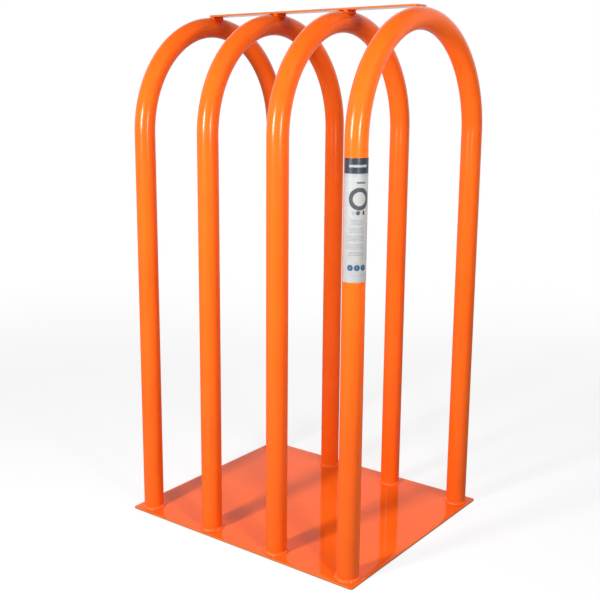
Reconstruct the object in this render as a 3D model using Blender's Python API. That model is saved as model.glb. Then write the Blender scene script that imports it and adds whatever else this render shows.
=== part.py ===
"""Tyre inflation cage: a row of bent-tube hoops welded to a base plate, their crowns tied by a flat bar.

Units are metres and +Z is up. The origin is on the floor, under the middle of the base plate.
X runs along the row of hoops, and Y runs across each hoop, from its front leg to its rear leg.
"""
import math

import bmesh
import bpy
from mathutils import Matrix, Vector

# Hoops: one bent tube each, two straight legs and a half-circle bend.
HOOP_COUNT = 4
HOOP_SPACING = 0.2224
TUBE_RADIUS = 0.0275
TUBE_WALL = 0.0032
BEND_RADIUS = 0.284
BEND_START_Z = 1.065
TUBE_SIDES = 24
BEND_STEPS = 22

# Base plate.
PLATE_LENGTH = 0.746
PLATE_WIDTH = 0.656
PLATE_THICKNESS = 0.005
PLATE_CORNER_RADIUS = 0.008
PLATE_EDGE_BREAK = 0.0006

# Flat bar across the crowns. It ends just short of the outer hoops' centrelines.
STRAP_LENGTH = 0.656
STRAP_WIDTH = 0.050
STRAP_THICKNESS = 0.005
STRAP_EDGE_BREAK = 0.0006

# Fillet welds.
FOOT_WELD_LEG = 0.008
FOOT_WELD_CROWN = 0.56
STRAP_WELD_LENGTH = 0.044
STRAP_WELD_STATIONS = 5
FLANK_WELD_NEAR = 0.009
FLANK_WELD_FAR = 0.0185
FLANK_WELD_TOP = 0.0155
END_WELD_LEG = 0.0042
END_WELD_CROWN = 0.6

# Label: thin film round the front leg of the last hoop.
LABEL_HOOP = 4
LABEL_WIDTH = 0.075
LABEL_HEIGHT = 0.283
LABEL_CENTRE_Z = 0.892
LABEL_FACING_DEG = 45.0
LABEL_FILM = 0.0004
LABEL_SEGMENTS = 12

# Clearance left between pieces that touch on the real object.
GAP = 0.0003

# Derived places.
PLATE_TOP_Z = PLATE_THICKNESS
FOOT_Z = PLATE_TOP_Z + GAP
CROWN_Z = BEND_START_Z + BEND_RADIUS + TUBE_RADIUS
STRAP_BOTTOM_Z = CROWN_Z + GAP
STRAP_END_X = STRAP_LENGTH / 2

ORANGE = (0.93, 0.17, 0.02, 1.0)
LABEL_GREY = (0.80, 0.81, 0.83, 1.0)


def clear_scene():
    for item in list(bpy.data.objects):
        bpy.data.objects.remove(item, do_unlink=True)


def make_material(name, colour, roughness, metallic):
    material = bpy.data.materials.new(name)
    material.use_nodes = True
    shader = material.node_tree.nodes["Principled BSDF"]
    shader.inputs["Base Color"].default_value = colour
    shader.inputs["Roughness"].default_value = roughness
    shader.inputs["Metallic"].default_value = metallic
    return material


def powder_coat(name):
    return make_material(name + "_coat", ORANGE, 0.25, 0.0)


def finish_object(name, bm, location, material):
    """Turn the bmesh into a named object with outward faces, placed at location."""
    bmesh.ops.recalc_face_normals(bm, faces=bm.faces)
    mesh = bpy.data.meshes.new(name)
    bm.to_mesh(mesh)
    bm.free()
    mesh.shade_smooth()
    mesh.set_sharp_from_angle(angle=math.radians(35))
    mesh.materials.append(material)
    item = bpy.data.objects.new(name, mesh)
    item.location = location
    bpy.context.collection.objects.link(item)
    return item


def add_edge_break(item, width):
    bevel = item.modifiers.new("edge_break", "BEVEL")
    bevel.width = width
    bevel.segments = 1
    bevel.limit_method = "ANGLE"
    bevel.angle_limit = math.radians(50)


def hoop_x(number):
    """X of a hoop's centreline. Hoops are numbered from 1 at the -X end."""
    return (number - (HOOP_COUNT + 1) / 2) * HOOP_SPACING


def rounded_rectangle(length, width, radius, steps):
    """Corner points of a flat outline, counter-clockwise, with each corner as an arc."""
    points = []
    for turn, (sign_x, sign_y) in enumerate(((1, 1), (-1, 1), (-1, -1), (1, -1))):
        centre_x = sign_x * (length / 2 - radius)
        centre_y = sign_y * (width / 2 - radius)
        for step in range(steps + 1):
            angle = math.radians(90) * (turn + step / steps)
            points.append((centre_x + radius * math.cos(angle), centre_y + radius * math.sin(angle)))
    return points


def make_base_plate():
    bm = bmesh.new()
    outline = rounded_rectangle(PLATE_LENGTH, PLATE_WIDTH, PLATE_CORNER_RADIUS, steps=4)
    face = bm.faces.new([bm.verts.new((x, y, 0.0)) for x, y in outline])
    grown = bmesh.ops.extrude_face_region(bm, geom=[face])
    top = [part for part in grown["geom"] if isinstance(part, bmesh.types.BMVert)]
    bmesh.ops.translate(bm, verts=top, vec=(0.0, 0.0, PLATE_THICKNESS))
    item = finish_object("base_plate", bm, (0.0, 0.0, 0.0), powder_coat("base_plate"))
    add_edge_break(item, PLATE_EDGE_BREAK)


def extrude_ring(bm, edges, offset):
    """Extrude an open ring of edges along offset and return the new ring's edges."""
    grown = bmesh.ops.extrude_edge_only(bm, edges=edges)["geom"]
    verts = [part for part in grown if isinstance(part, bmesh.types.BMVert)]
    bmesh.ops.translate(bm, verts=verts, vec=offset)
    return [part for part in grown if isinstance(part, bmesh.types.BMEdge) and part.is_boundary]


def make_hoop_skin():
    """Outer skin of one hoop: up the front leg, over the bend and down the rear leg."""
    bm = bmesh.new()
    start = Matrix.Translation((0.0, -BEND_RADIUS, FOOT_Z))
    bmesh.ops.create_circle(bm, segments=TUBE_SIDES, radius=TUBE_RADIUS, matrix=start)
    rise = Vector((0.0, 0.0, BEND_START_Z - FOOT_Z))
    ring = extrude_ring(bm, bm.edges[:], rise)
    ring_verts = list({vert for edge in ring for vert in edge.verts})
    bent = bmesh.ops.spin(
        bm, geom=ring + ring_verts, cent=(0.0, 0.0, BEND_START_Z), axis=(1.0, 0.0, 0.0),
        angle=-math.pi, steps=BEND_STEPS, use_duplicate=False)
    ring = [part for part in bent["geom_last"] if isinstance(part, bmesh.types.BMEdge)]
    extrude_ring(bm, ring, -rise)
    return bm


def make_hoop(number):
    name = "hoop_%d" % number
    item = finish_object(name, make_hoop_skin(), (hoop_x(number), 0.0, 0.0), powder_coat(name))
    wall = item.modifiers.new("tube_wall", "SOLIDIFY")
    wall.thickness = TUBE_WALL
    wall.offset = -1.0


def make_tie_strap():
    bm = bmesh.new()
    size = Matrix.Diagonal((STRAP_LENGTH, STRAP_WIDTH, STRAP_THICKNESS, 1.0))
    bmesh.ops.create_cube(bm, size=1.0, matrix=size)
    place = (0.0, 0.0, STRAP_BOTTOM_Z + STRAP_THICKNESS / 2)
    item = finish_object("tie_strap", bm, place, powder_coat("tie_strap"))
    add_edge_break(item, STRAP_EDGE_BREAK)


def make_foot_weld(number, side, name):
    """Ring-shaped fillet round a leg's foot, slightly crowned between its two legs."""
    inner = TUBE_RADIUS + GAP
    crown = FOOT_WELD_LEG * FOOT_WELD_CROWN
    profile = [
        (inner, 0.0),
        (inner + FOOT_WELD_LEG, 0.0),
        (inner + crown, crown),
        (inner, FOOT_WELD_LEG),
    ]
    bm = bmesh.new()
    verts = [bm.verts.new((x, 0.0, z)) for x, z in profile]
    edges = [bm.edges.new((verts[i], verts[(i + 1) % len(verts)])) for i in range(len(verts))]
    bmesh.ops.spin(
        bm, geom=verts + edges, cent=(0.0, 0.0, 0.0), axis=(0.0, 0.0, 1.0),
        angle=math.tau, steps=TUBE_SIDES, use_merge=True, use_duplicate=False)
    place = (hoop_x(number), side * BEND_RADIUS, PLATE_TOP_Z + GAP)
    finish_object(name, bm, place, powder_coat(name))


def bend_surface_z(across, along):
    """Height of the surface that clears a hoop's crown by GAP.

    across is the X distance from the hoop's centreline, and along is the Y distance from its crown.
    """
    ring_reach = BEND_RADIUS + math.sqrt((TUBE_RADIUS + GAP) ** 2 - across ** 2)
    return BEND_START_Z + math.sqrt(ring_reach ** 2 - along ** 2)


def flank_weld_profile(along):
    """Section of a weld in the wedge between the strap's underside and the tube's flank."""
    top = STRAP_BOTTOM_Z - GAP
    middle = (FLANK_WELD_NEAR + FLANK_WELD_FAR) / 2
    bottom = [(x, bend_surface_z(x, along)) for x in (FLANK_WELD_NEAR, middle, FLANK_WELD_FAR)]
    bulge = (FLANK_WELD_FAR, (top + bottom[-1][1]) / 2)
    return bottom + [bulge, (FLANK_WELD_TOP, top), (FLANK_WELD_NEAR, top)]


def end_weld_profile(along, strap_end):
    """Section of a weld between the strap's end and the crown of an outer hoop.

    strap_end is the X distance of the strap's end from the hoop's centreline, negative when short of it.
    """
    near = strap_end + GAP
    far = near + END_WELD_LEG
    foot = bend_surface_z(near, along)
    crown = END_WELD_LEG * END_WELD_CROWN
    middle = (near + crown, foot + crown)
    return [(near, foot), (far, bend_surface_z(far, along)), middle, (near, foot + END_WELD_LEG)]


def make_strap_weld(number, side, name):
    """Weld on one side of a hoop's crown. side is -1 towards -X and +1 towards +X."""
    outward = side * hoop_x(number) > 0
    at_strap_end = outward and abs(hoop_x(number)) > STRAP_END_X
    strap_end = STRAP_END_X - abs(hoop_x(number))
    bm = bmesh.new()
    sections = []
    for station in range(STRAP_WELD_STATIONS):
        along = STRAP_WELD_LENGTH * (station / (STRAP_WELD_STATIONS - 1) - 0.5)
        profile = end_weld_profile(along, strap_end) if at_strap_end else flank_weld_profile(along)
        sections.append([bm.verts.new((side * x, along, z)) for x, z in profile])
    for first, second in zip(sections, sections[1:]):
        for i in range(len(first)):
            j = (i + 1) % len(first)
            bm.faces.new((first[i], first[j], second[j], second[i]))
    bm.faces.new(sections[0])
    bm.faces.new(sections[-1])
    finish_object(name, bm, (hoop_x(number), 0.0, 0.0), powder_coat(name))


def make_label():
    """Film wrapped round the leg, as a curved strip with a real thickness."""
    inner = TUBE_RADIUS + GAP
    half_angle = LABEL_WIDTH / inner / 2
    facing = math.radians(LABEL_FACING_DEG)
    low = LABEL_CENTRE_Z - LABEL_HEIGHT / 2
    bm = bmesh.new()
    bottom = []
    for radius in (inner, inner + LABEL_FILM):
        row = []
        for step in range(LABEL_SEGMENTS + 1):
            angle = facing + half_angle * (2 * step / LABEL_SEGMENTS - 1)
            row.append(bm.verts.new((radius * math.sin(angle), -radius * math.cos(angle), low)))
        bottom.append(row)
    quads = []
    for i in range(LABEL_SEGMENTS):
        quads.append(bm.faces.new((bottom[0][i], bottom[0][i + 1], bottom[1][i + 1], bottom[1][i])))
    grown = bmesh.ops.extrude_face_region(bm, geom=quads)
    top = [part for part in grown["geom"] if isinstance(part, bmesh.types.BMVert)]
    bmesh.ops.translate(bm, verts=top, vec=(0.0, 0.0, LABEL_HEIGHT))
    place = (hoop_x(LABEL_HOOP), -BEND_RADIUS, 0.0)
    finish_object("label", bm, place, make_material("label_film", LABEL_GREY, 0.35, 0.0))


def build_cage():
    clear_scene()
    make_base_plate()
    make_tie_strap()
    for number in range(1, HOOP_COUNT + 1):
        make_hoop(number)
        make_foot_weld(number, -1, "foot_weld_front_%d" % number)
        make_foot_weld(number, 1, "foot_weld_rear_%d" % number)
        make_strap_weld(number, -1, "strap_weld_left_%d" % number)
        make_strap_weld(number, 1, "strap_weld_right_%d" % number)
    make_label()


build_cage()
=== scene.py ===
"""Looks of the tyre inflation cage: gloss orange powder coat, weld beads, a printed label and a pale studio.

Each piece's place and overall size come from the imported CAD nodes. The constants below add the fine detail.
Units are metres, and +Z is up.
"""
import math
from collections import namedtuple

import bmesh
import bpy
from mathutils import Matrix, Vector, noise


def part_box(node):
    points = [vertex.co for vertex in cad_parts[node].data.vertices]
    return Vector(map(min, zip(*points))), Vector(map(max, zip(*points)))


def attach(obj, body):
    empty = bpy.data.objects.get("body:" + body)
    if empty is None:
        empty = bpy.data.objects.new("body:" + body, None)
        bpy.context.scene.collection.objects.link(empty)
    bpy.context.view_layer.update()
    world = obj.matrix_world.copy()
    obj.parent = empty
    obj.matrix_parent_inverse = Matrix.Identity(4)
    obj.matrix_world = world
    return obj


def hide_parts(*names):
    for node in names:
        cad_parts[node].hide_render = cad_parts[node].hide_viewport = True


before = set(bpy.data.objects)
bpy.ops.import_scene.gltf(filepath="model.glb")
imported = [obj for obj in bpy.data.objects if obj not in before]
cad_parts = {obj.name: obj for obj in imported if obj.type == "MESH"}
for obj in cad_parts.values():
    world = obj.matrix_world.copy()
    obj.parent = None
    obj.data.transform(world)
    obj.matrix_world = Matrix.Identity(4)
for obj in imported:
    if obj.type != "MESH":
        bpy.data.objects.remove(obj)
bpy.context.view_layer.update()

BODY = "root"
HOOP_COUNT = 4

# Tubes.
TUBE_WALL = 0.0032
TUBE_SIDES = 64
LEG_RINGS = 40
BEND_RINGS = 96
LEG_RING_CROWDING = 1.6
BEND_FLATTENING = 0.00035
DIE_MARK_DEPTH = 0.00012
DIE_MARK_REACH = 0.006

# Flat steel: the base plate and the strap.
INNER_STEPS = 26
EDGE_STEPS = 4
CORNER_STEPS = 10
SIDE_STEPS = 26
PLATE_CORNER_RADIUS = 0.008
PLATE_EDGE_RADIUS = 0.0011
PLATE_BUCKLE = 0.00012
BUCKLE_SCALE = 4.5
BUCKLE_LAYER = 3.7
BUCKLE_FADE_POWER = 4
STRAP_CORNER_RADIUS = 0.0016
STRAP_EDGE_RADIUS = 0.0009

# Weld beads.
RIPPLE_PITCH = 0.0036
RIPPLE_SAMPLES = 7
RIPPLE_HEIGHT = 0.00055
RIPPLE_LAG = 0.75
BEAD_POINTS = 14
BEAD_BULGE = 0.0005
BEAD_WANDER = 0.0009
# Each row adds one size of swelling: noise scale, step for each seed, noise layer, and share.
WANDER_NOISES = ((55.0, 3.1, 0.0, 1.0), (160.0, 7.7, 4.0, 0.8))
FACE_WANDER_SHARE = 0.5
# How far a bead is sunk into the steel: all of it, at the edges of its face, and under a foot bead's root.
BEAD_SINK = 0.0005
EDGE_SINK = BEAD_SINK * 0.3
ROOT_SINK = BEAD_SINK * 0.6
FOOT_BEAD_SHARE = 0.82
# Where the two passes of a foot bead start, in degrees: on hoop 0, and how much further on each next hoop.
FOOT_PASS_STARTS = ((250, 17), (80, 23))
OVERLAP_HEIGHT = 0.0009
OVERLAP_REACH = 0.16
BEAD_TAPER = 4.5
BEAD_TAPER_START = 0.02
STRAP_WANDER_SHARE = 0.6
# A flank bead reaches from its narrow ends to the full width of its CAD piece, and its top stays further in.
FLANK_END_SHARE = 0.35
FLANK_MIDDLE_SHARE = 0.57
FLANK_TOP_SHARE = 0.86
FLANK_ROOT_SHARE = 0.45
STRAP_END_BEAD_SHARE = 0.8
STRAP_END_WANDER_SHARE = 0.5
STRAP_END_BULGE_WAY = (0.45, 0.6)

# Label film.
LABEL_COLUMNS = 56
LABEL_ROWS = 72
LABEL_CORNER_RADIUS = 0.0025
LABEL_CORNER_LIFT = 0.0004
LABEL_LIFT_REACH = 0.012
LABEL_BACK_SHARE = 0.4
FILM_CLOUD_SCALE = 60.0
FILM_HAZE_SCALE = 30.0
FILM_ROUGHNESS = (0.22, 0.34)
FILM_PEEL = 0.25

# Colours, as linear values.
COAT_ORANGE = (0.93, 0.135, 0.010)
COAT_DEEP = (0.84, 0.105, 0.008)
# COAT_EDGE darkens cut edges as wear and painted shade, and flecks the beads as spatter.
COAT_EDGE = (0.45, 0.19, 0.07)
PRINT_GROUND = (0.385, 0.388, 0.380)
PRINT_GROUND_SHADE = (0.36, 0.365, 0.365)
PRINT_SLATE = (0.031, 0.037, 0.050)
PRINT_MID_GREY = (0.27, 0.29, 0.34)
PRINT_TEXT_GREY = (0.25, 0.26, 0.28)
PRINT_BLUE = (0.022, 0.075, 0.155)
PRINT_OCHRE = (0.42, 0.40, 0.16)
PRINT_BLACK = (0.015, 0.015, 0.018)

# The coat's finish. Roughness runs from smooth to dull, depth darkens the colour towards its deeper
# shade as painted shade, and peel is the strength of its dimples.
Finish = namedtuple("Finish", "smooth dull specular depth peel")
TUBE_FINISH = Finish(0.19, 0.25, 0.24, 0.0, 0.35)
# Plate, strap and beads get painted shade: a deeper orange that tones down how brightly the lamps light them.
PLATE_FINISH = Finish(0.05, 0.09, 0.14, 0.45, 0.35)
STRAP_FINISH = Finish(0.05, 0.09, 0.30, 0.55, 0.35)
BEAD_FINISH = Finish(0.28, 0.40, 0.30, 0.40, 0.8)

# The coat's texture. A scale is a noise texture's scale, in features per metre. A range is the pair of noise
# values between which it comes in.
DIMPLE_SCALE = 620.0
DIMPLE_DETAIL = 1.5
SPRAY_SCALE = 42.0
SPRAY_SHARE = 0.5
PEEL_HEIGHT = 0.00006
CLOUD_SCALE = 5.5
CLOUD_RANGE = (0.35, 0.75)
CLOUD_SHARE = 0.55
SPECK_SCALE = 900.0
SPECK_SHARE = 0.25
HAZE_SCALE = 14.0
HAZE_RANGE = (0.3, 0.8)

# Cut edges darkened by wear and by painted shade over the flat pieces' sides, and weld spatter.
WORN_AND_SHADED_EDGE_REACH = 0.0012
WORN_AND_SHADED_EDGE_SOLID_SHARE = 0.35
WORN_AND_SHADED_SHARE = 0.70
CHIP_SCALE = 260.0
CHIP_RANGE = (0.60, 0.68)
CHIP_SHARE = 0.25
SPATTER_SCALE = 480.0
SPATTER_RANGE = (0.62, 0.72)
SPATTER_SHARE = 0.45


# ---------------------------------------------------------------- mesh helpers

def node_size(name):
    low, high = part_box(name)
    return low, high, high - low


def finish_piece(name, bm, material, nodes, crease_deg=40.0):
    """Turn a bmesh into a smooth-shaded piece that rides on the cage and stands for its CAD nodes."""
    bmesh.ops.recalc_face_normals(bm, faces=bm.faces)
    mesh = bpy.data.meshes.new(name)
    bm.to_mesh(mesh)
    bm.free()
    mesh.shade_smooth()
    mesh.set_sharp_from_angle(angle=math.radians(crease_deg))
    mesh.materials.append(material)
    piece = bpy.data.objects.new(name, mesh)
    bpy.context.scene.collection.objects.link(piece)
    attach(piece, BODY)
    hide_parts(*nodes)
    return piece


def skin_rings(bm, rings, closed=False):
    """Join a run of equal closed rings of points with quads. Returns the rings' vertices."""
    verts = [[bm.verts.new(point) for point in ring] for ring in rings]
    pairs = list(zip(verts, verts[1:]))
    if closed:
        pairs.append((verts[-1], verts[0]))
    for first, second in pairs:
        for i in range(len(first)):
            j = (i + 1) % len(first)
            bm.faces.new((first[i], first[j], second[j], second[i]))
    return verts


# ---------------------------------------------------------------- flat steel

def slab_outline(low, high, corner_radius, inset):
    """Rounded rectangle round a box, pulled in by inset, counter-clockwise, with its sides divided."""
    points = []
    radius = corner_radius - inset
    corners = (
        (high.x - corner_radius, high.y - corner_radius),
        (low.x + corner_radius, high.y - corner_radius),
        (low.x + corner_radius, low.y + corner_radius),
        (high.x - corner_radius, low.y + corner_radius),
    )
    for turn, (centre_x, centre_y) in enumerate(corners):
        for step in range(CORNER_STEPS + 1):
            angle = math.radians(90) * (turn + step / CORNER_STEPS)
            points.append(Vector((centre_x + radius * math.cos(angle), centre_y + radius * math.sin(angle))))
        next_x, next_y = corners[(turn + 1) % 4]
        end_angle = math.radians(90) * (turn + 1)
        end = Vector((next_x + radius * math.cos(end_angle), next_y + radius * math.sin(end_angle)))
        start = points[-1]
        for step in range(1, SIDE_STEPS):
            points.append(start.lerp(end, step / SIDE_STEPS))
    return points


def slab_rings(low, high, corner_radius, edge_radius, buckle):
    """Rings of a flat bar with rounded edges, from the middle of its underside to the middle of its top.

    buckle is how far the top's middle waves up and down; it dies out towards the edges.
    """
    flat = slab_outline(low, high, corner_radius, edge_radius)
    centre = Vector(((low.x + high.x) / 2, (low.y + high.y) / 2))
    rings = []
    for step in range(1, INNER_STEPS):
        rings.append([(*centre.lerp(p, step / INNER_STEPS), low.z) for p in flat])
    for level, sign in ((low.z + edge_radius, -1), (high.z - edge_radius, 1)):
        for step in range(EDGE_STEPS + 1):
            turn = math.radians(90) * (step / EDGE_STEPS)
            angle = math.radians(90) - turn if sign < 0 else turn
            inset = edge_radius * (1 - math.cos(angle))
            z = level + sign * edge_radius * math.sin(angle)
            rings.append([(*p, z) for p in slab_outline(low, high, corner_radius, inset)])
    for step in range(INNER_STEPS - 1, 0, -1):
        share = step / INNER_STEPS
        fade = 1 - share ** BUCKLE_FADE_POWER
        ring = []
        for p in flat:
            place = centre.lerp(p, share)
            wave = noise.noise(Vector((place.x * BUCKLE_SCALE, place.y * BUCKLE_SCALE, BUCKLE_LAYER)))
            ring.append((*place, high.z - buckle * fade * (0.5 + 0.5 * wave)))
        rings.append(ring)
    return rings


def make_slab(node, corner_radius, edge_radius, buckle, finish):
    """Flat steel with rounded corners and edges, in a finish of its own."""
    name = node + "_coated"
    low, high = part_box(node)
    bm = bmesh.new()
    verts = skin_rings(bm, slab_rings(low, high, corner_radius, edge_radius, buckle))
    bm.faces.new(verts[0])
    bm.faces.new(verts[-1])
    coat = coat_material(name, finish, box=(low, high))
    return finish_piece(name, bm, coat, [node])


# ---------------------------------------------------------------- hoops

class Hoop:
    """Places on one hoop, worked out from its CAD box."""

    def __init__(self, number):
        self.number = number
        self.low, self.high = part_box("hoop_%d" % number)
        self.radius = (self.high.x - self.low.x) / 2
        self.x = (self.high.x + self.low.x) / 2
        self.y = (self.high.y + self.low.y) / 2
        self.bend = (self.high.y - self.low.y) / 2 - self.radius
        self.foot_z = self.low.z
        self.crown_z = self.high.z
        self.bend_z = self.crown_z - self.radius - self.bend

    def leg_y(self, side):
        """Y of a leg's centreline. side is -1 for the front leg and +1 for the rear one."""
        return self.y + side * self.bend

    def surface_z(self, across, along):
        """Height of the bend's outer surface, across in X and along in Y from the crown."""
        reach = self.bend + math.sqrt(self.radius ** 2 - across ** 2)
        return self.bend_z + math.sqrt(reach ** 2 - along ** 2)


def leg_stations(hoop, side):
    """Stations up one leg, closer together towards the bend."""
    stations = []
    for step in range(LEG_RINGS):
        share = 1 - (1 - step / LEG_RINGS) ** LEG_RING_CROWDING
        z = hoop.foot_z + (hoop.bend_z - hoop.foot_z) * share
        centre = Vector((hoop.x, hoop.leg_y(side), z))
        stations.append((centre, Vector((0, side, 0)), 0.0, hoop.bend_z - z))
    return stations


def bend_stations(hoop):
    """Stations round the half circle, from the front leg to the rear one."""
    middle = Vector((hoop.x, hoop.y, hoop.bend_z))
    stations = []
    for step in range(BEND_RINGS + 1):
        angle = math.pi * step / BEND_RINGS
        outward = Vector((0, -math.cos(angle), math.sin(angle)))
        bent = math.sqrt(max(0.0, math.sin(angle)))
        run = hoop.bend * min(angle, math.pi - angle)
        stations.append((middle + outward * hoop.bend, outward, bent, run))
    return stations


def hoop_stations(hoop):
    """(centre, outward direction, how bent, distance to the nearest bend start) along one hoop."""
    return leg_stations(hoop, -1) + bend_stations(hoop) + leg_stations(hoop, 1)[::-1]


def hoop_ring(hoop, station, inset=0.0):
    """One ring of the tube, inset from its skin: flattened in the bend, and marked where the bend starts."""
    centre, outward, bent, run = station
    sideways = Vector((1, 0, 0))
    mark = DIE_MARK_DEPTH * math.exp(-(run / DIE_MARK_REACH) ** 2)
    out_radius = hoop.radius - inset - BEND_FLATTENING * bent - mark
    side_radius = hoop.radius - inset + BEND_FLATTENING * bent - mark
    ring = []
    for side in range(TUBE_SIDES):
        angle = math.tau * side / TUBE_SIDES
        out = out_radius * math.cos(angle)
        across = side_radius * math.sin(angle)
        ring.append(centre + outward * out + sideways * across)
    return ring


def make_hoop(hoop):
    """Bent tube, open at both feet: its skin from front to rear, and its bore back again."""
    stations = hoop_stations(hoop)
    skin = [hoop_ring(hoop, station) for station in stations]
    bore = [hoop_ring(hoop, station, TUBE_WALL) for station in reversed(stations)]
    bm = bmesh.new()
    skin_rings(bm, skin + bore, closed=True)
    name = "hoop_tube_%d" % hoop.number
    coat = coat_material(name, TUBE_FINISH)
    return finish_piece(name, bm, coat, ["hoop_%d" % hoop.number])


# ---------------------------------------------------------------- weld beads

def ripple(distance, share):
    """Height of the bead's ripples. distance runs along the bead, and share across it from 0 to 1."""
    crescent = 4 * share * (1 - share)
    phase = (distance / RIPPLE_PITCH - RIPPLE_LAG * crescent) % 1.0
    return RIPPLE_HEIGHT * crescent * (1 - (2 * phase - 1) ** 2)


def wander(distance, seed):
    """Slow, uneven swelling of a hand-laid bead, either side of 0."""
    total = 0.0
    for scale, seed_step, layer, share in WANDER_NOISES:
        total += share * noise.noise(Vector((distance * scale, seed * seed_step, layer)))
    return total


def bead_section(start, end, bulge_way, distance, seed):
    """Points of a bead's face from start to end, bulged along bulge_way, in the section's own plane."""
    points = []
    for step in range(BEAD_POINTS + 1):
        share = step / BEAD_POINTS
        crown = 4 * share * (1 - share)
        swell = BEAD_WANDER * FACE_WANDER_SHARE * wander(distance, seed)
        height = (BEAD_BULGE + swell) * crown + ripple(distance, share)
        points.append(start.lerp(end, share) + bulge_way * height)
    return points


def pass_overlap(angle, starts):
    """Extra thickness where the weld's passes start over one another."""
    extra = 0.0
    for start in starts:
        gap = abs((angle - start + math.pi) % math.tau - math.pi)
        extra += OVERLAP_HEIGHT * math.exp(-(gap / OVERLAP_REACH) ** 2)
    return extra


def make_foot_bead(hoop, side, name, node):
    """Fillet weld all round a leg's foot, laid in two passes that overlap."""
    low, high, size = node_size(node)
    centre = Vector(((low.x + high.x) / 2, (low.y + high.y) / 2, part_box("base_plate")[1].z))
    seed = hoop.number + 10 * side
    ripples = round(math.tau * (hoop.radius + size.z / 2) / RIPPLE_PITCH)
    stations = ripples * RIPPLE_SAMPLES
    starts = [math.radians(first + step * hoop.number) for first, step in FOOT_PASS_STARTS]
    rings = []
    for station in range(stations):
        angle = math.tau * station / stations
        distance = RIPPLE_PITCH * ripples * station / stations
        swell = BEAD_WANDER * wander(distance, seed)
        reach = size.z * FOOT_BEAD_SHARE + swell + pass_overlap(angle, starts)
        toe = Vector((hoop.radius + reach, -EDGE_SINK))
        top = Vector((hoop.radius - EDGE_SINK, reach))
        root = Vector((hoop.radius - BEAD_SINK, -ROOT_SINK))
        section = bead_section(toe, top, Vector((1.0, 1.0)).normalized(), distance, seed) + [root]
        way = Vector((math.cos(angle), math.sin(angle), 0.0))
        rings.append([centre + way * p.x + Vector((0, 0, p.y)) for p in section])
    bm = bmesh.new()
    skin_rings(bm, rings, closed=True)
    return finish_piece(name, bm, bead_material(), [node], crease_deg=60.0)


def flank_bead_points(hoop, side, along, toe_x, top_x, distance, seed, strap_low):
    """Section of a bead in the wedge between the strap's underside and the tube's flank."""
    toe = Vector((toe_x, hoop.surface_z(toe_x, along) - EDGE_SINK))
    top = Vector((top_x, strap_low + EDGE_SINK))
    face = bead_section(toe, top, Vector((1.0, 0.0)), distance, seed)
    near = min(toe_x, top_x) * FLANK_ROOT_SHARE
    inner_top = Vector((near, strap_low + EDGE_SINK))
    inner_foot = Vector((near, hoop.surface_z(near, along) - BEAD_SINK))
    return [Vector((hoop.x + side * p.x, along, p.y)) for p in face + [inner_top, inner_foot]]


def end_bead_points(hoop, side, along, start_x, leg, distance, seed):
    """Section of a bead between the strap's end and the crown of an outer hoop."""
    foot_z = hoop.surface_z(start_x, along)
    toe = Vector((start_x + leg, hoop.surface_z(start_x + leg, along) - EDGE_SINK))
    top = Vector((start_x - EDGE_SINK, foot_z + leg))
    face = bead_section(toe, top, Vector(STRAP_END_BULGE_WAY), distance, seed)
    root = Vector((start_x - BEAD_SINK, foot_z - BEAD_SINK))
    return [Vector((hoop.x + side * p.x, along, p.y)) for p in face + [root]]


def make_strap_bead(hoop, side, name, node):
    """Short weld that holds the strap to one side of a crown. Its ends taper off."""
    low, high, size = node_size(node)
    strap_low, strap_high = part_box("tie_strap")
    inner, outer = sorted((abs(low.x - hoop.x), abs(high.x - hoop.x)))
    at_strap_end = side * hoop.x > 0 and abs(hoop.x) > strap_high.x
    if at_strap_end:
        inner = strap_high.x - abs(hoop.x)
        outer = max(side * (low.x - hoop.x), side * (high.x - hoop.x))
    seed = hoop.number * 2 + side
    stations = round(size.y / RIPPLE_PITCH) * RIPPLE_SAMPLES
    rings = []
    for station in range(stations + 1):
        share = station / stations
        along = size.y * (share - 0.5)
        distance = share * size.y
        from_end = max(BEAD_TAPER_START, min(share, 1 - share))
        taper = min(1.0, BEAD_TAPER * math.sqrt(from_end))
        swell = BEAD_WANDER * wander(distance, seed) * STRAP_WANDER_SHARE
        if at_strap_end:
            leg = (outer - inner) * STRAP_END_BEAD_SHARE * taper + swell * STRAP_END_WANDER_SHARE
            rings.append(end_bead_points(hoop, side, along, inner, leg, distance, seed))
        else:
            toe_x = inner + (outer - inner) * (FLANK_END_SHARE + FLANK_MIDDLE_SHARE * taper) + swell
            top_x = toe_x * FLANK_TOP_SHARE
            rings.append(flank_bead_points(hoop, side, along, toe_x, top_x, distance, seed, strap_low.z))
    bm = bmesh.new()
    verts = skin_rings(bm, rings)
    bm.faces.new(verts[0])
    bm.faces.new(verts[-1])
    return finish_piece(name, bm, bead_material(), [node], crease_deg=60.0)


# ---------------------------------------------------------------- label

def label_corner_inset(from_end):
    """How far a rounded corner pulls the label's side edge in, at a height from its nearer end."""
    cut = LABEL_CORNER_RADIUS - from_end
    if cut <= 0:
        return 0.0
    return LABEL_CORNER_RADIUS - math.sqrt(LABEL_CORNER_RADIUS ** 2 - cut ** 2)


def label_grid(bm, axis, radius, first, width, base_z, height):
    """Rows of vertices on a cylinder round the leg. width is measured round it, from the angle first."""
    grid = []
    for row in range(LABEL_ROWS + 1):
        up = row / LABEL_ROWS * height
        from_end = min(up, height - up)
        inset = label_corner_inset(from_end)
        line = []
        for column in range(LABEL_COLUMNS + 1):
            across = inset + column / LABEL_COLUMNS * (width - 2 * inset)
            from_corner = math.hypot(min(across, width - across), from_end)
            reach = radius + LABEL_CORNER_LIFT * max(0.0, 1 - from_corner / LABEL_LIFT_REACH) ** 2
            angle = first + across / radius
            place = axis + Vector((reach * math.sin(angle), -reach * math.cos(angle), base_z + up))
            line.append(bm.verts.new(place))
        grid.append(line)
    return grid


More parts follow.
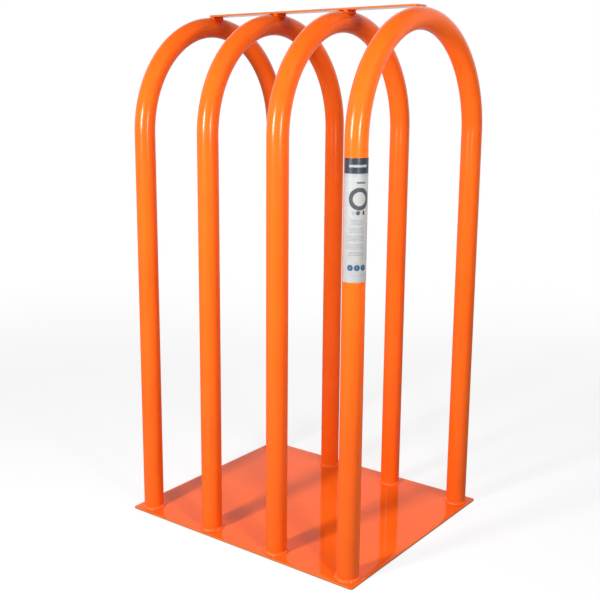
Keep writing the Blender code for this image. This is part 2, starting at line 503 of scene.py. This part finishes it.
def close_label(bm, front, back):
    """Faces over the print, the back and the four cut edges."""
    for row in range(LABEL_ROWS):
        for column in range(LABEL_COLUMNS):
            for grid in (front, back):
                low_pair = (grid[row][column], grid[row][column + 1])
                bm.faces.new(low_pair + (grid[row + 1][column + 1], grid[row + 1][column]))
    sides = [[row[column] for row in grid] for column in (0, -1) for grid in (front, back)]
    ends = [grid[row] for row in (0, -1) for grid in (front, back)]
    for outer, inner in (sides[:2], sides[2:], ends[:2], ends[2:]):
        for i in range(len(outer) - 1):
            bm.faces.new((outer[i], outer[i + 1], inner[i + 1], inner[i]))


def make_label(hoop):
    """Printed film wrapped round the front leg, with rounded corners that lift slightly."""
    low, _, size = node_size("label")
    axis = Vector((hoop.x, hoop.leg_y(-1), 0.0))
    cad_points = [v.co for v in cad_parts["label"].data.vertices]
    film_radius = max((point - axis).to_2d().length for point in cad_points)
    angles = [math.atan2(point.x - axis.x, axis.y - point.y) for point in cad_points]
    first, last = min(angles), max(angles)
    back_radius = hoop.radius + (film_radius - hoop.radius) * LABEL_BACK_SHARE
    width = (last - first) * film_radius
    bm = bmesh.new()
    front = label_grid(bm, axis, film_radius, first, width, low.z, size.z)
    back = label_grid(bm, axis, back_radius, first, (last - first) * back_radius, low.z, size.z)
    close_label(bm, front, back)
    map_print(bm, axis, first, film_radius, low.z)
    return finish_piece("printed_label", bm, label_material(width, size.z), ["label"])


def map_print(bm, axis, first, radius, base_z):
    """UVs in metres: across the print from its left edge, and up from its foot."""
    layer = bm.loops.layers.uv.new("print")
    for face in bm.faces:
        for loop in face.loops:
            place = loop.vert.co - axis
            loop[layer].uv = ((math.atan2(place.x, -place.y) - first) * radius, loop.vert.co.z - base_z)


# ---------------------------------------------------------------- material helpers

# The Mix node has sockets for every kind of data. These are the ones for colours.
MIX_COLOUR_A = 6
MIX_COLOUR_B = 7
MIX_COLOUR_RESULT = 2


class Nodes:
    """Short names for building a node tree."""

    def __init__(self, tree):
        self.tree = tree

    def add(self, kind, **values):
        node = self.tree.nodes.new(kind)
        for key, value in values.items():
            setattr(node, key, value)
        return node

    def link(self, source, target):
        self.tree.links.new(source, target)

    def put(self, socket, value):
        """Give a socket a value: a constant, or another node's output."""
        if isinstance(value, bpy.types.NodeSocket):
            self.link(value, socket)
        else:
            socket.default_value = value

    def math(self, operation, first, second=0.0, third=0.0):
        node = self.add("ShaderNodeMath", operation=operation)
        for socket, value in zip(node.inputs, (first, second, third)):
            self.put(socket, value)
        return node.outputs[0]

    def noise(self, vector, scale, detail=2.0, roughness=0.5):
        node = self.add("ShaderNodeTexNoise")
        self.link(vector, node.inputs["Vector"])
        node.inputs["Scale"].default_value = scale
        node.inputs["Detail"].default_value = detail
        node.inputs["Roughness"].default_value = roughness
        return node.outputs["Fac"]

    def ramp(self, value, low, high, start=0.0, end=1.0):
        """Smooth step of value, from start at low to end at high."""
        node = self.add("ShaderNodeMapRange", interpolation_type="SMOOTHSTEP")
        for name, number in (("From Min", low), ("From Max", high), ("To Min", start), ("To Max", end)):
            node.inputs[name].default_value = number
        self.put(node.inputs["Value"], value)
        return node.outputs["Result"]

    def mix(self, factor, first, second):
        """Blend of two colours, each a constant or a node's output."""
        node = self.add("ShaderNodeMix", data_type="RGBA")
        self.put(node.inputs["Factor"], factor)
        for index, value in ((MIX_COLOUR_A, first), (MIX_COLOUR_B, second)):
            is_socket = isinstance(value, bpy.types.NodeSocket)
            self.put(node.inputs[index], value if is_socket else (*value, 1.0))
        return node.outputs[MIX_COLOUR_RESULT]


def new_material(name):
    material = bpy.data.materials.new(name)
    material.use_nodes = True
    return material, Nodes(material.node_tree), material.node_tree.nodes["Principled BSDF"]


# ---------------------------------------------------------------- powder coat

def orange_peel(nodes, vector, strength):
    """Fine dimpled skin of cured powder, over slow unevenness from the spray."""
    dimples = nodes.noise(vector, DIMPLE_SCALE, detail=DIMPLE_DETAIL)
    slow = nodes.noise(vector, SPRAY_SCALE)
    height = nodes.math("MULTIPLY_ADD", slow, SPRAY_SHARE, dimples)
    bump = nodes.add("ShaderNodeBump")
    bump.inputs["Strength"].default_value = strength
    bump.inputs["Distance"].default_value = PEEL_HEIGHT
    nodes.link(height, bump.inputs["Height"])
    return bump.outputs["Normal"]


def coat_colour(nodes, vector, depth):
    """Orange that varies a little with the coat's thickness. depth darkens all of it towards the deeper
    shade, as painted shade.
    """
    cloud = nodes.noise(vector, CLOUD_SCALE, detail=3.0, roughness=0.6)
    speck = nodes.noise(vector, SPECK_SCALE, detail=0.0)
    # Thickness specks, plus painted shade that darkens the whole piece.
    thick_and_shaded = nodes.math("MULTIPLY_ADD", speck, SPECK_SHARE, depth)
    thick_and_shaded = nodes.math("MULTIPLY_ADD", nodes.ramp(cloud, *CLOUD_RANGE), CLOUD_SHARE * (1 - depth), thick_and_shaded)
    return nodes.mix(thick_and_shaded, COAT_ORANGE, COAT_DEEP)


def coat_roughness(nodes, vector, finish):
    haze = nodes.noise(vector, HAZE_SCALE, detail=3.0)
    return nodes.ramp(haze, *HAZE_RANGE, finish.smooth, finish.dull)


def box_edge_mask(nodes, vector, low, high, reach):
    """1 on the outermost faces of a box in X and Y, fading to 0 over reach."""
    split = nodes.add("ShaderNodeSeparateXYZ")
    nodes.link(vector, split.inputs[0])
    sides = []
    for axis in range(2):
        middle = (low[axis] + high[axis]) / 2
        half = (high[axis] - low[axis]) / 2
        away = nodes.math("ABSOLUTE", nodes.math("SUBTRACT", split.outputs[axis], middle))
        sides.append(nodes.ramp(away, half - reach, half - reach * WORN_AND_SHADED_EDGE_SOLID_SHARE))
    return nodes.math("MAXIMUM", sides[0], sides[1])


def coat_material(name, finish, box=None):
    """Powder coat for a large piece. A flat piece gives its box, and its cut edges darken: wear, and painted
    shade.
    """
    material, nodes, shader = new_material(name + "_coat")
    place = nodes.add("ShaderNodeTexCoord").outputs["Object"]
    colour = coat_colour(nodes, place, finish.depth)
    if box:
        # Painted shade and wear: the sides and cut edges of a flat piece are darkened, with chips of wear.
        edge = box_edge_mask(nodes, place, box[0], box[1], WORN_AND_SHADED_EDGE_REACH)
        chips = nodes.ramp(nodes.noise(place, CHIP_SCALE, detail=3.0), *CHIP_RANGE)
        wear_and_shade = nodes.math("MULTIPLY_ADD", chips, CHIP_SHARE, WORN_AND_SHADED_SHARE)
        worn_and_shaded = nodes.math("MULTIPLY", edge, wear_and_shade)
        colour = nodes.mix(worn_and_shaded, colour, COAT_EDGE)
    nodes.link(colour, shader.inputs["Base Color"])
    nodes.link(coat_roughness(nodes, place, finish), shader.inputs["Roughness"])
    nodes.link(orange_peel(nodes, place, finish.peel), shader.inputs["Normal"])
    shader.inputs["Specular IOR Level"].default_value = finish.specular
    return material


def bead_material():
    """The same coat over a weld: a little duller, darkened with painted shade, and flecked with spatter."""
    name = "weld_bead_coat"
    if name in bpy.data.materials:
        return bpy.data.materials[name]
    material, nodes, shader = new_material(name)
    place = nodes.add("ShaderNodeTexCoord").outputs["Object"]
    colour = coat_colour(nodes, place, BEAD_FINISH.depth)
    spatter = nodes.ramp(nodes.noise(place, SPATTER_SCALE), *SPATTER_RANGE)
    colour = nodes.mix(nodes.math("MULTIPLY", spatter, SPATTER_SHARE), colour, COAT_EDGE)
    nodes.link(colour, shader.inputs["Base Color"])
    nodes.link(coat_roughness(nodes, place, BEAD_FINISH), shader.inputs["Roughness"])
    nodes.link(orange_peel(nodes, place, BEAD_FINISH.peel), shader.inputs["Normal"])
    shader.inputs["Specular IOR Level"].default_value = BEAD_FINISH.specular
    return material


# ---------------------------------------------------------------- label print

# Everything on the label is in millimetres: x from its middle, and down from its top.
# Bars: x, down, width, height, colour, strength.
LABEL_BARS = (
    (0.0, 17.0, 80.0, 36.0, PRINT_SLATE, 1.0),
    (0.0, 18.0, 44.0, 5.5, PRINT_GROUND, 0.8),
    (0.0, 39.0, 80.0, 8.0, PRINT_MID_GREY, 0.35),
    (8.0, 55.0, 22.0, 4.6, PRINT_SLATE, 0.75),
    (14.8, 123.0, 5.0, 9.0, PRINT_BLACK, 1.0),
    (2.0, 266.5, 36.0, 2.0, PRINT_TEXT_GREY, 0.45),
)
# Discs: x, down, radius, colour, strength.
LABEL_DISCS = (
    (-10.0, 123.0, 4.4, PRINT_MID_GREY, 0.9),
    (0.6, 123.0, 5.0, PRINT_SLATE, 0.9),
    (7.8, 229.0, 3.8, PRINT_OCHRE, 0.8),
)
# Paragraphs of rules: x, down to the first, width, how many, seed of their ragged ends.
LABEL_RULES = (
    (3.0, 137.0, 38.0, 4, 0.10),
    (1.0, 155.0, 44.0, 4, 0.35),
    (-1.0, 174.0, 48.0, 4, 0.62),
    (-1.0, 193.0, 48.0, 4, 0.20),
    (1.0, 211.0, 42.0, 3, 0.80),
)
RULE_PITCH = 3.4
# A rule's ink in each pitch: no ink past the first distance from its middle, full ink within the second.
RULE_INK = (0.32, 0.20)
RULE_RAGGED_STEP = 0.618
RULE_RAGGED_SHARE = 0.22
RULE_END_BLUR = 0.3
PARAGRAPH_BLUR = 0.05
RULE_STRENGTH = 0.8
PRINT_BLUR = 0.35
RING_PLACE = (4.0, 91.5)
RING_HOLE_SHARE = 0.62
RING_STRENGTH = 0.9
RING_RADIUS = 25.5
STUD_MIDDLE = 0.5
STUD_DOWN = 248.5
STUD_PITCH = 16.0
STUD_RADIUS = 7.0
STUD_HOLE_RADIUS = 1.7
STUD_HOLE_STRENGTH = 0.6


class Print:
    """Lays flat shapes of ink on the label, placed in millimetres from the middle of its top edge."""

    def __init__(self, nodes, width, height, ground):
        self.nodes = nodes
        self.colour = ground
        uv = nodes.add("ShaderNodeUVMap", uv_map="print").outputs["UV"]
        split = nodes.add("ShaderNodeSeparateXYZ")
        nodes.link(uv, split.inputs[0])
        self.across = nodes.math("MULTIPLY_ADD", split.outputs[0], 1000.0, -width * 500.0)
        self.down = nodes.math("MULTIPLY_ADD", split.outputs[1], -1000.0, height * 1000.0)

    def band(self, value, centre, half_width, blur=PRINT_BLUR):
        """1 where value is within half_width of centre, with a soft edge."""
        away = self.nodes.math("ABSOLUTE", self.nodes.math("SUBTRACT", value, centre))
        return self.nodes.ramp(away, half_width + blur, half_width - blur)

    def lay(self, mask, colour, strength):
        self.colour = self.nodes.mix(self.nodes.math("MULTIPLY", mask, strength), self.colour, colour)

    def bar(self, x, down, width, height, colour, strength):
        wide = self.band(self.across, x, width / 2)
        tall = self.band(self.down, down, height / 2)
        self.lay(self.nodes.math("MULTIPLY", wide, tall), colour, strength)

    def disc(self, x, down, radius, colour, strength=1.0):
        nodes = self.nodes
        dx = nodes.math("SUBTRACT", self.across, x)
        dz = nodes.math("SUBTRACT", self.down, down)
        away = nodes.math("SQRT", nodes.math("MULTIPLY_ADD", dx, dx, nodes.math("MULTIPLY", dz, dz)))
        self.lay(nodes.ramp(away, radius + PRINT_BLUR, radius - PRINT_BLUR), colour, strength)

    def rules(self, x, down, width, count, seed):
        """A paragraph of plain grey rules with ragged right ends, where a real label has small print."""
        nodes = self.nodes
        row = nodes.math("DIVIDE", nodes.math("SUBTRACT", self.down, down), RULE_PITCH)
        from_line = nodes.math("ABSOLUTE", nodes.math("SUBTRACT", nodes.math("FRACT", row), 0.5))
        ink = nodes.ramp(from_line, *RULE_INK)
        half_height = count * RULE_PITCH / 2
        inside = self.band(self.down, down + half_height, half_height, PARAGRAPH_BLUR)
        step = nodes.math("MULTIPLY_ADD", nodes.math("FLOOR", row), RULE_RAGGED_STEP, seed)
        ragged = nodes.math("FRACT", step)
        start = x - width / 2
        left = nodes.ramp(self.across, start - RULE_END_BLUR, start + RULE_END_BLUR)
        end = nodes.math("MULTIPLY_ADD", ragged, -width * RULE_RAGGED_SHARE, x + width / 2)
        right = nodes.math("LESS_THAN", self.across, end)
        lines = nodes.math("MULTIPLY", ink, inside)
        width_mask = nodes.math("MULTIPLY", left, right)
        self.lay(nodes.math("MULTIPLY", lines, width_mask), PRINT_TEXT_GREY, RULE_STRENGTH)


def draw_ring(ink, x, down, radius):
    """A plain dark ring, open in the middle."""
    ink.disc(x, down, radius, PRINT_SLATE, RING_STRENGTH)
    ink.disc(x, down, radius * RING_HOLE_SHARE, PRINT_GROUND)


def draw_studs(ink):
    """Three round blue studs in a row, each with a pale hole."""
    for place in (-1, 0, 1):
        x = place * STUD_PITCH + STUD_MIDDLE
        ink.disc(x, STUD_DOWN, STUD_RADIUS, PRINT_BLUE)
        ink.disc(x, STUD_DOWN, STUD_HOLE_RADIUS, PRINT_GROUND, STUD_HOLE_STRENGTH)


def label_material(width, height):
    """Satin film with a plain print: a slate header, a ring, dots and rules. It carries no words or marks."""
    material, nodes, shader = new_material("label_print")
    place = nodes.add("ShaderNodeTexCoord").outputs["Object"]
    clouds = nodes.ramp(nodes.noise(place, FILM_CLOUD_SCALE, detail=3.0), *HAZE_RANGE)
    ink = Print(nodes, width, height, nodes.mix(clouds, PRINT_GROUND, PRINT_GROUND_SHADE))
    for bar in LABEL_BARS:
        ink.bar(*bar)
    draw_ring(ink, *RING_PLACE, RING_RADIUS)
    for disc in LABEL_DISCS:
        ink.disc(*disc)
    for paragraph in LABEL_RULES:
        ink.rules(*paragraph)
    draw_studs(ink)
    nodes.link(ink.colour, shader.inputs["Base Color"])
    haze = nodes.noise(place, FILM_HAZE_SCALE)
    nodes.link(nodes.ramp(haze, *HAZE_RANGE, *FILM_ROUGHNESS), shader.inputs["Roughness"])
    nodes.link(orange_peel(nodes, place, FILM_PEEL), shader.inputs["Normal"])
    return material


# ---------------------------------------------------------------- studio

CAMERA_PLACE = (1.51985, -2.12022, 1.19593)
CAMERA_HEADING_DEG = 38.298
CAMERA_TILT_DEG = 11.917
CAMERA_LENS_MM = 57.771
CAMERA_SENSOR_MM = 36.0
CAMERA_SHIFT = (0.0600, -0.0226)

CAGE_MIDDLE = (0.0, 0.0, 0.75)
# Softboxes: name, place, aim, width, height, watts, and whether the gloss coat mirrors it.
SOFTBOXES = (
    ("key_softbox", (-0.22, -1.95, 1.40), CAGE_MIDDLE, 0.24, 0.54, 45.0, True),
    ("side_softbox", (1.02, -0.72, 1.18), (0.2, -0.1, 0.9), 0.11, 0.24, 7.0, True),
    ("high_fill", (2.0, -0.6, 2.9), CAGE_MIDDLE, 1.4, 1.4, 32.0, False),
    ("side_fill", (2.6, -1.1, 0.7), CAGE_MIDDLE, 1.2, 1.2, 5.0, False),
    ("low_fill", (-0.7, -2.4, 0.30), (0.0, 0.0, 0.1), 0.8, 0.4, 6.0, False),
    ("back_fill", (-1.8, 2.9, 1.3), CAGE_MIDDLE, 1.6, 1.6, 32.0, False),
)

# The floor's colour to the camera, its colour as it lights the cage, and how much it glows to the camera.
FLOOR_WHITE = (0.18, 0.18, 0.18)
FLOOR_BOUNCE = (0.32, 0.32, 0.32)
FLOOR_GLOW = 0.80
FLOOR_RADIUS = 7.0
FLOOR_FADE = (1.3, 3.6)
FLOOR_SIDES = 96
BACKDROP_WHITE = 1.0
# The room that lights the coat and is mirrored in it. Each row has a low and a high value of a direction,
# then the light at each: towards the backdrop, up from the floor, and up into the ceiling.
ROOM_BACKDROP = (-0.35, 0.75, 0.10, 1.05)
ROOM_FOOT = (-0.25, 0.10, 0.40, 1.0)
ROOM_CEILING = (0.48, 0.80, 1.0, 0.15)


def make_camera():
    data = bpy.data.cameras.new("studio_camera")
    data.sensor_width = CAMERA_SENSOR_MM
    data.lens = CAMERA_LENS_MM
    data.shift_x, data.shift_y = CAMERA_SHIFT
    camera = bpy.data.objects.new("studio_camera", data)
    camera.location = CAMERA_PLACE
    camera.rotation_euler = (math.radians(90 - CAMERA_TILT_DEG), 0.0, math.radians(CAMERA_HEADING_DEG))
    bpy.context.scene.collection.objects.link(camera)
    bpy.context.scene.camera = camera


def make_softbox(name, place, aim, width, height, watts, mirrored):
    """Area light. One that isn't mirrored lights the cage but leaves no highlight."""
    data = bpy.data.lights.new(name, "AREA")
    data.shape = "RECTANGLE"
    data.size = width
    data.size_y = height
    data.energy = watts
    lamp = bpy.data.objects.new(name, data)
    lamp.location = place
    lamp.rotation_euler = (Vector(aim) - lamp.location).to_track_quat("-Z", "Y").to_euler()
    lamp.visible_camera = False
    lamp.visible_glossy = mirrored
    bpy.context.scene.collection.objects.link(lamp)


def make_world():
    """Studio surroundings: a bright backdrop behind the cage, and a dim room and ceiling elsewhere."""
    world = bpy.data.worlds.new("studio")
    bpy.context.scene.world = world
    world.use_nodes = True
    nodes = Nodes(world.node_tree)
    way = nodes.add("ShaderNodeTexCoord").outputs["Generated"]
    behind = nodes.add("ShaderNodeVectorMath", operation="DOT_PRODUCT")
    nodes.link(way, behind.inputs[0])
    heading = math.radians(CAMERA_HEADING_DEG)
    behind.inputs[1].default_value = (-math.sin(heading), math.cos(heading), 0.0)
    split = nodes.add("ShaderNodeSeparateXYZ")
    nodes.link(way, split.inputs[0])
    backdrop = nodes.ramp(behind.outputs["Value"], *ROOM_BACKDROP)
    foot = nodes.ramp(split.outputs[2], *ROOM_FOOT)
    ceiling = nodes.ramp(split.outputs[2], *ROOM_CEILING)
    room = nodes.math("MULTIPLY", nodes.math("MULTIPLY", backdrop, foot), ceiling)
    seen = nodes.add("ShaderNodeLightPath").outputs["Is Camera Ray"]
    unseen = nodes.math("SUBTRACT", 1.0, seen)
    strength = nodes.math("MULTIPLY_ADD", unseen, room, nodes.math("MULTIPLY", seen, BACKDROP_WHITE))
    background = world.node_tree.nodes["Background"]
    nodes.link(strength, background.inputs["Strength"])
    background.inputs["Color"].default_value = (1.0, 1.0, 1.0, 1.0)


def floor_material():
    """Matt white floor that fades into the backdrop away from the cage."""
    material, nodes, shader = new_material("studio_floor")
    place = nodes.add("ShaderNodeTexCoord").outputs["Object"]
    seen = nodes.add("ShaderNodeLightPath").outputs["Is Camera Ray"]
    nodes.link(nodes.mix(seen, FLOOR_BOUNCE, FLOOR_WHITE), shader.inputs["Base Color"])
    shader.inputs["Emission Color"].default_value = (1.0, 1.0, 1.0, 1.0)
    nodes.link(nodes.math("MULTIPLY", seen, FLOOR_GLOW), shader.inputs["Emission Strength"])
    shader.inputs["Roughness"].default_value = 0.9
    shader.inputs["Specular IOR Level"].default_value = 0.0
    length = nodes.add("ShaderNodeVectorMath", operation="LENGTH")
    nodes.link(place, length.inputs[0])
    solid = nodes.ramp(length.outputs["Value"], FLOOR_FADE[1], FLOOR_FADE[0])
    nodes.link(solid, shader.inputs["Alpha"])
    return material


def make_floor():
    bm = bmesh.new()
    bmesh.ops.create_circle(bm, cap_ends=True, radius=FLOOR_RADIUS, segments=FLOOR_SIDES)
    mesh = bpy.data.meshes.new("studio_floor")
    bm.to_mesh(mesh)
    bm.free()
    mesh.materials.append(floor_material())
    floor = bpy.data.objects.new("studio_floor", mesh)
    bpy.context.scene.collection.objects.link(floor)


def make_studio():
    bpy.context.scene.view_settings.view_transform = "Standard"
    make_camera()
    make_world()
    make_floor()
    for softbox in SOFTBOXES:
        make_softbox(*softbox)


# ---------------------------------------------------------------- the cage

def make_cage():
    make_slab("base_plate", PLATE_CORNER_RADIUS, PLATE_EDGE_RADIUS, PLATE_BUCKLE, PLATE_FINISH)
    make_slab("tie_strap", STRAP_CORNER_RADIUS, STRAP_EDGE_RADIUS, 0.0, STRAP_FINISH)
    for number in range(1, HOOP_COUNT + 1):
        hoop = Hoop(number)
        make_hoop(hoop)
        for side, word in ((-1, "front"), (1, "rear")):
            end = "%s_%d" % (word, number)
            make_foot_bead(hoop, side, "foot_bead_" + end, "foot_weld_" + end)
        for side, word in ((-1, "left"), (1, "right")):
            end = "%s_%d" % (word, number)
            make_strap_bead(hoop, side, "strap_bead_" + end, "strap_weld_" + end)
    make_label(Hoop(HOOP_COUNT))


make_studio()
make_cage()
